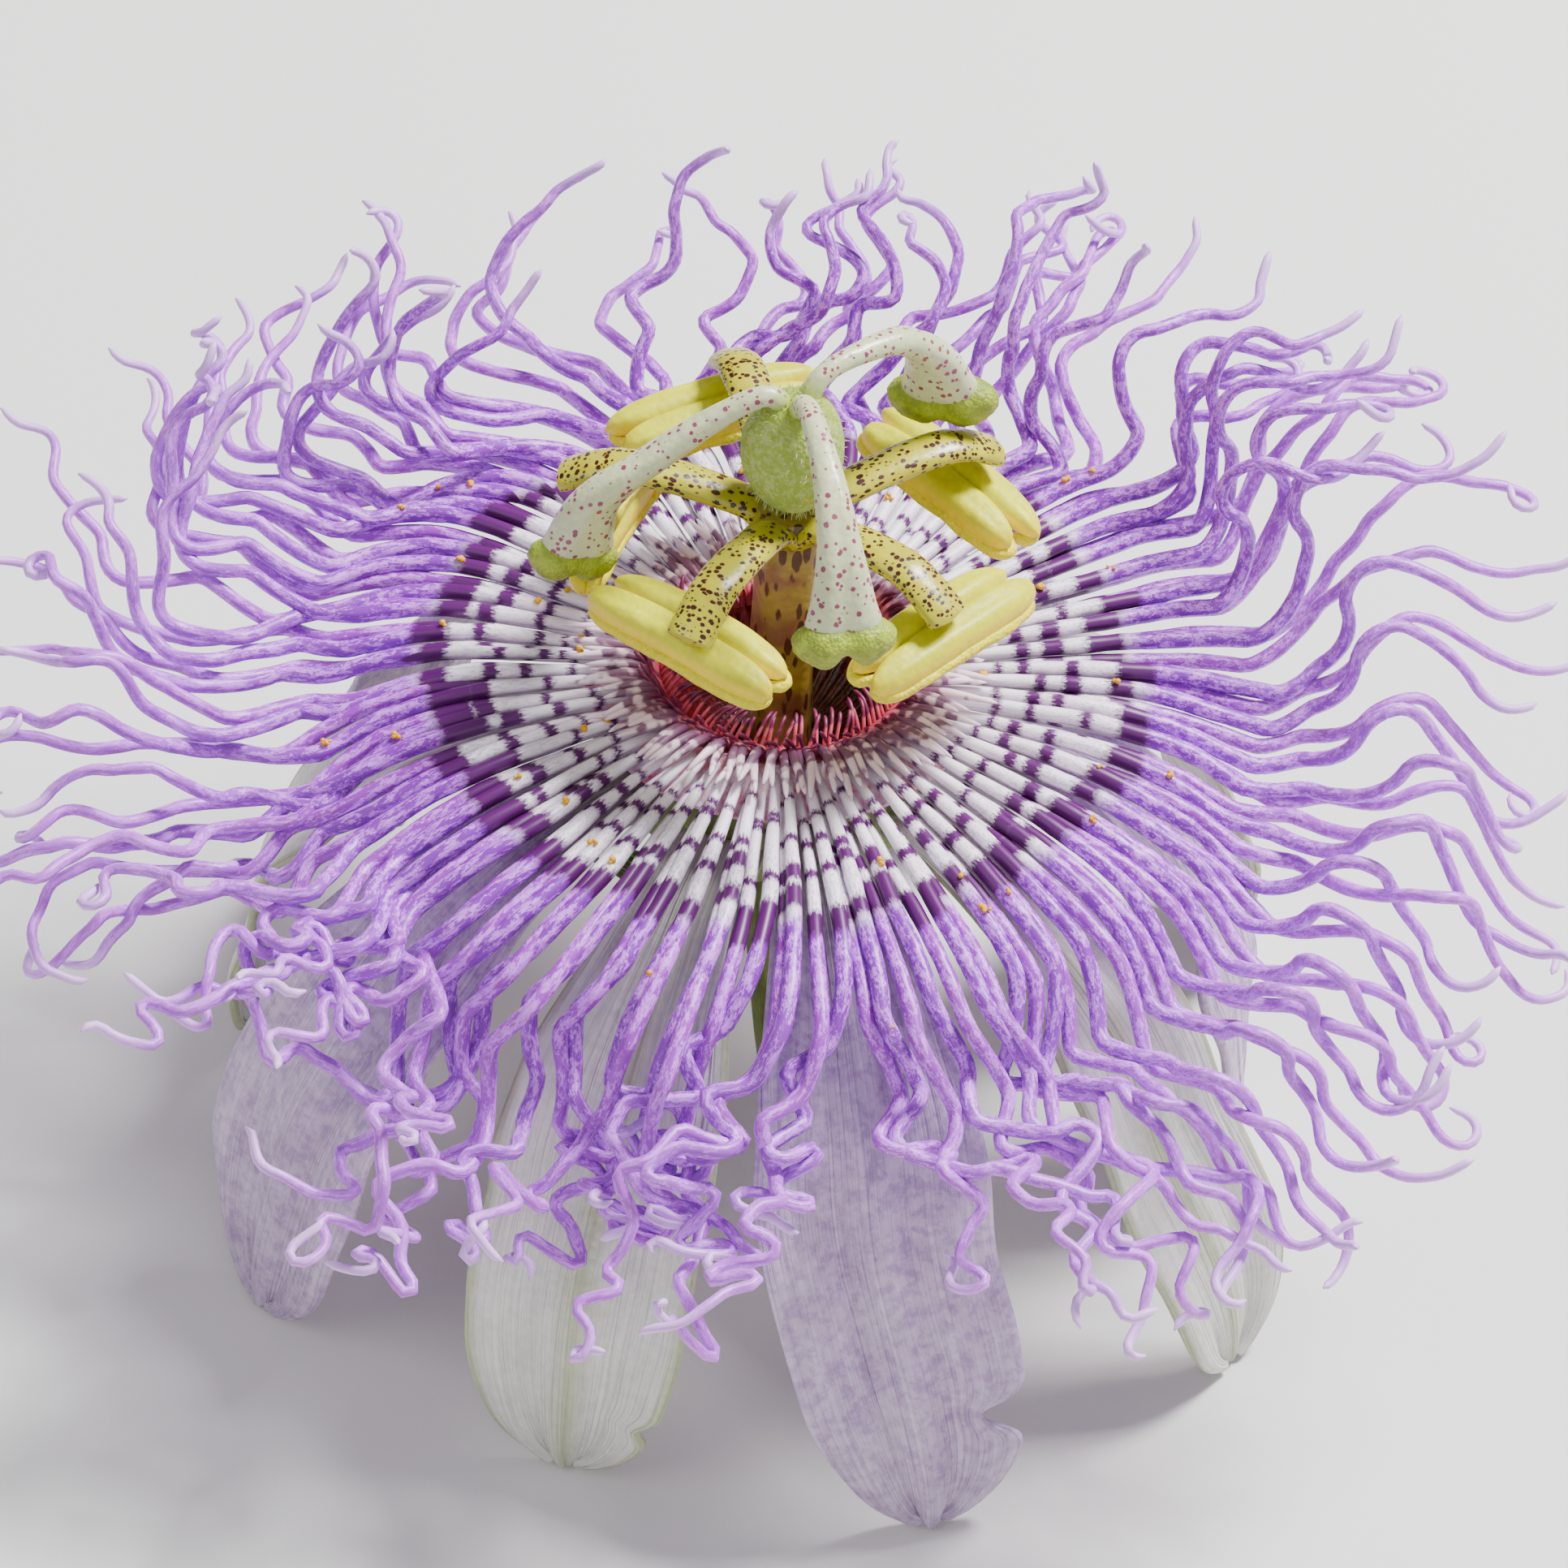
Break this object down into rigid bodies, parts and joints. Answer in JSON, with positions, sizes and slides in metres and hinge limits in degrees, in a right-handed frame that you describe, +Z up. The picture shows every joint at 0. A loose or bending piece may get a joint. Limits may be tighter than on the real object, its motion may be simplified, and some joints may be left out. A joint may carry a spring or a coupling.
{
  "type": "passion flower",
  "caption": "Open passion flower blossom with a crown of wavy violet filaments, resting face up on its reflexed sepals and petals, with a short cut stalk.",
  "frame": {"origin": "centre of the blossom's box, on the surface that the tips of the sepals and petals rest on", "axes": "+Z up along the column and styles; -Y is the front, towards the viewer; +X is the viewer's right"},
  "size_m": [0.0726, 0.0712, 0.0465],
  "materials": {
    "petal_white": "satin petal skin, white with lilac, ribbed lengthways",
    "sepal_white": "satin sepal skin, greenish white with a yellow-green keel and edge",
    "filament_violet": "satin, banded purple and white near the throat, lavender outside",
    "filament_lilac": "satin, banded purple and white near the throat, lilac outside",
    "filament_white": "satin, white with maroon streaks",
    "fringe_maroon": "satin, dark tips",
    "throat_red": "moist gloss, ribbed",
    "cup_green": "satin",
    "stalk_green": "satin, paler at the cut",
    "bract_green": "satin leaf",
    "column_brown": "satin, dark lengthways spots",
    "ovary_green": "matt, finely hairy",
    "strap_green": "gloss, small maroon spots",
    "anther_yellow": "matt, powdered with pollen",
    "style_pale": "satin, fine pink specks",
    "stigma_green": "moist satin"
  },
  "bodies": {
    "root": {"androgynophore": "column_brown", "anther_1": "anther_yellow", "anther_2": "anther_yellow", "anther_3": "anther_yellow", "anther_4": "anther_yellow", "anther_5": "anther_yellow", "bract_1": "bract_green", "bract_2": "bract_green", "bract_3": "bract_green", "corona_fringe": "fringe_maroon", "corona_inner_row": "filament_white", "corona_lower_row": "filament_lilac", "corona_upper_row": "filament_violet", "floral_cup": "cup_green", "operculum": "throat_red", "ovary": "ovary_green", "pedicel": "stalk_green", "petal_1": "petal_white", "petal_2": "petal_white", "petal_3": "petal_white", "petal_4": "petal_white", "petal_5": "petal_white", "sepal_1": "sepal_white", "sepal_2": "sepal_white", "sepal_3": "sepal_white", "sepal_4": "sepal_white", "sepal_5": "sepal_white", "stamen_filament_1": "strap_green", "stamen_filament_2": "strap_green", "stamen_filament_3": "strap_green", "stamen_filament_4": "strap_green", "stamen_filament_5": "strap_green", "stigma_front": "stigma_green", "stigma_left": "stigma_green", "stigma_right": "stigma_green", "style_front": "style_pale", "style_left": "style_pale", "style_right": "style_pale"}
  },
  "joints": []
}
